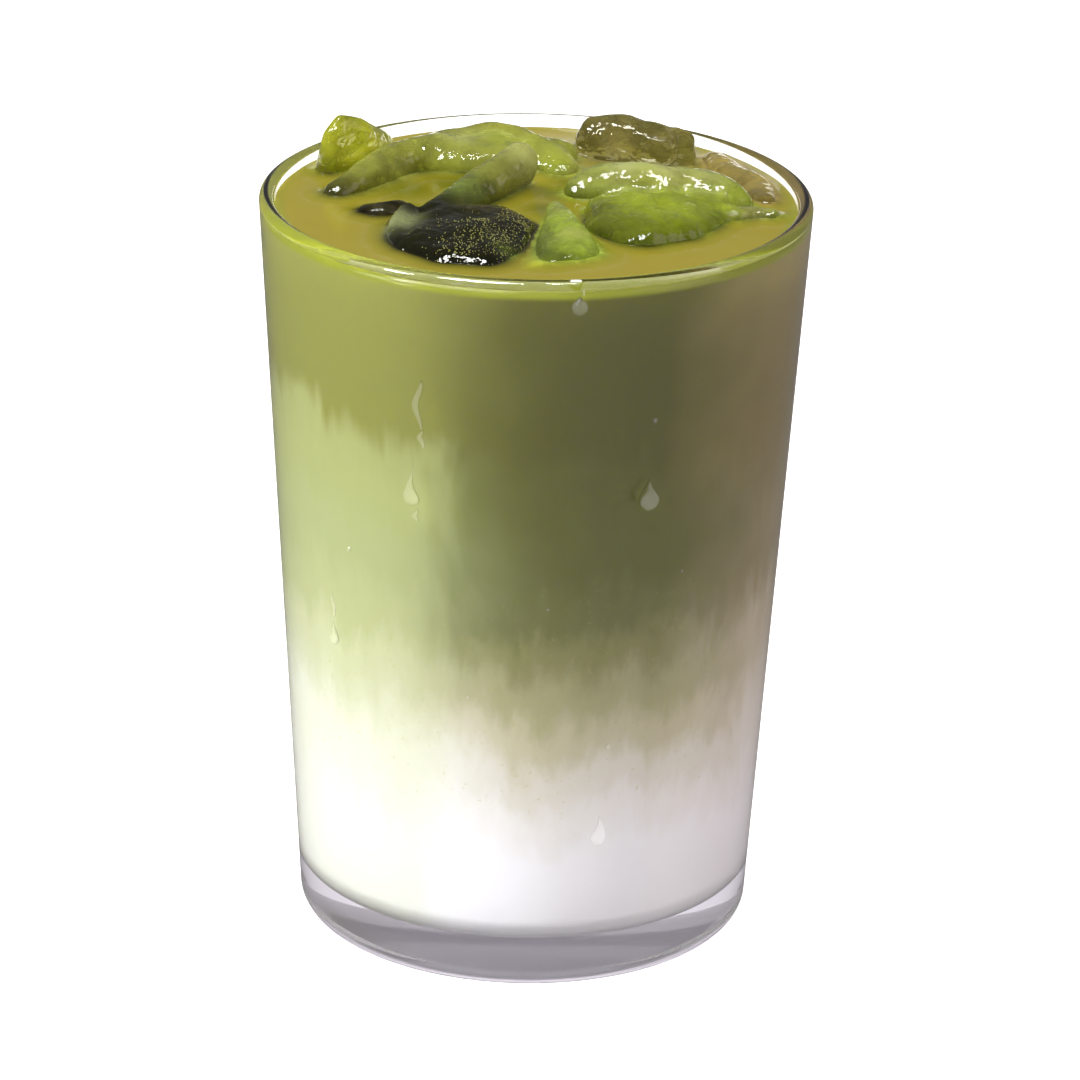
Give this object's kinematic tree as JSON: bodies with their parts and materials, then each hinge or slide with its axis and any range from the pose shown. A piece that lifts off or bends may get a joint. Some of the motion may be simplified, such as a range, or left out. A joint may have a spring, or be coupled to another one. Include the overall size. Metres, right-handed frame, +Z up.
{
  "type": "iced matcha latte",
  "caption": "Iced matcha latte in a clear tapered tumbler: white milk below, green matcha above, and ice standing out of the top.",
  "frame": {"origin": "middle of the glass's foot, on the surface that it stands on", "axes": "+Z up along the glass's axis, -Y towards the viewer's side, where the deep ice hollow and the knob of ice are"},
  "size_m": [0.0858, 0.0858, 0.1263],
  "materials": {
    "clear_glass": "clear, polished",
    "milk": "opaque white liquid",
    "matcha": "cloudy green liquid, wet surface",
    "ice": "clear wet ice, tinted by the drink"
  },
  "bodies": {
    "root": {"glass": "clear_glass", "milk": "milk", "matcha": "matcha", "ice_fin": "ice", "ice_arch": "ice", "ice_cup": "ice", "ice_knob": "ice", "ice_leaf": "ice", "ice_block": "ice", "ice_sheet": "ice", "ice_sliver": "ice"}
  },
  "joints": []
}
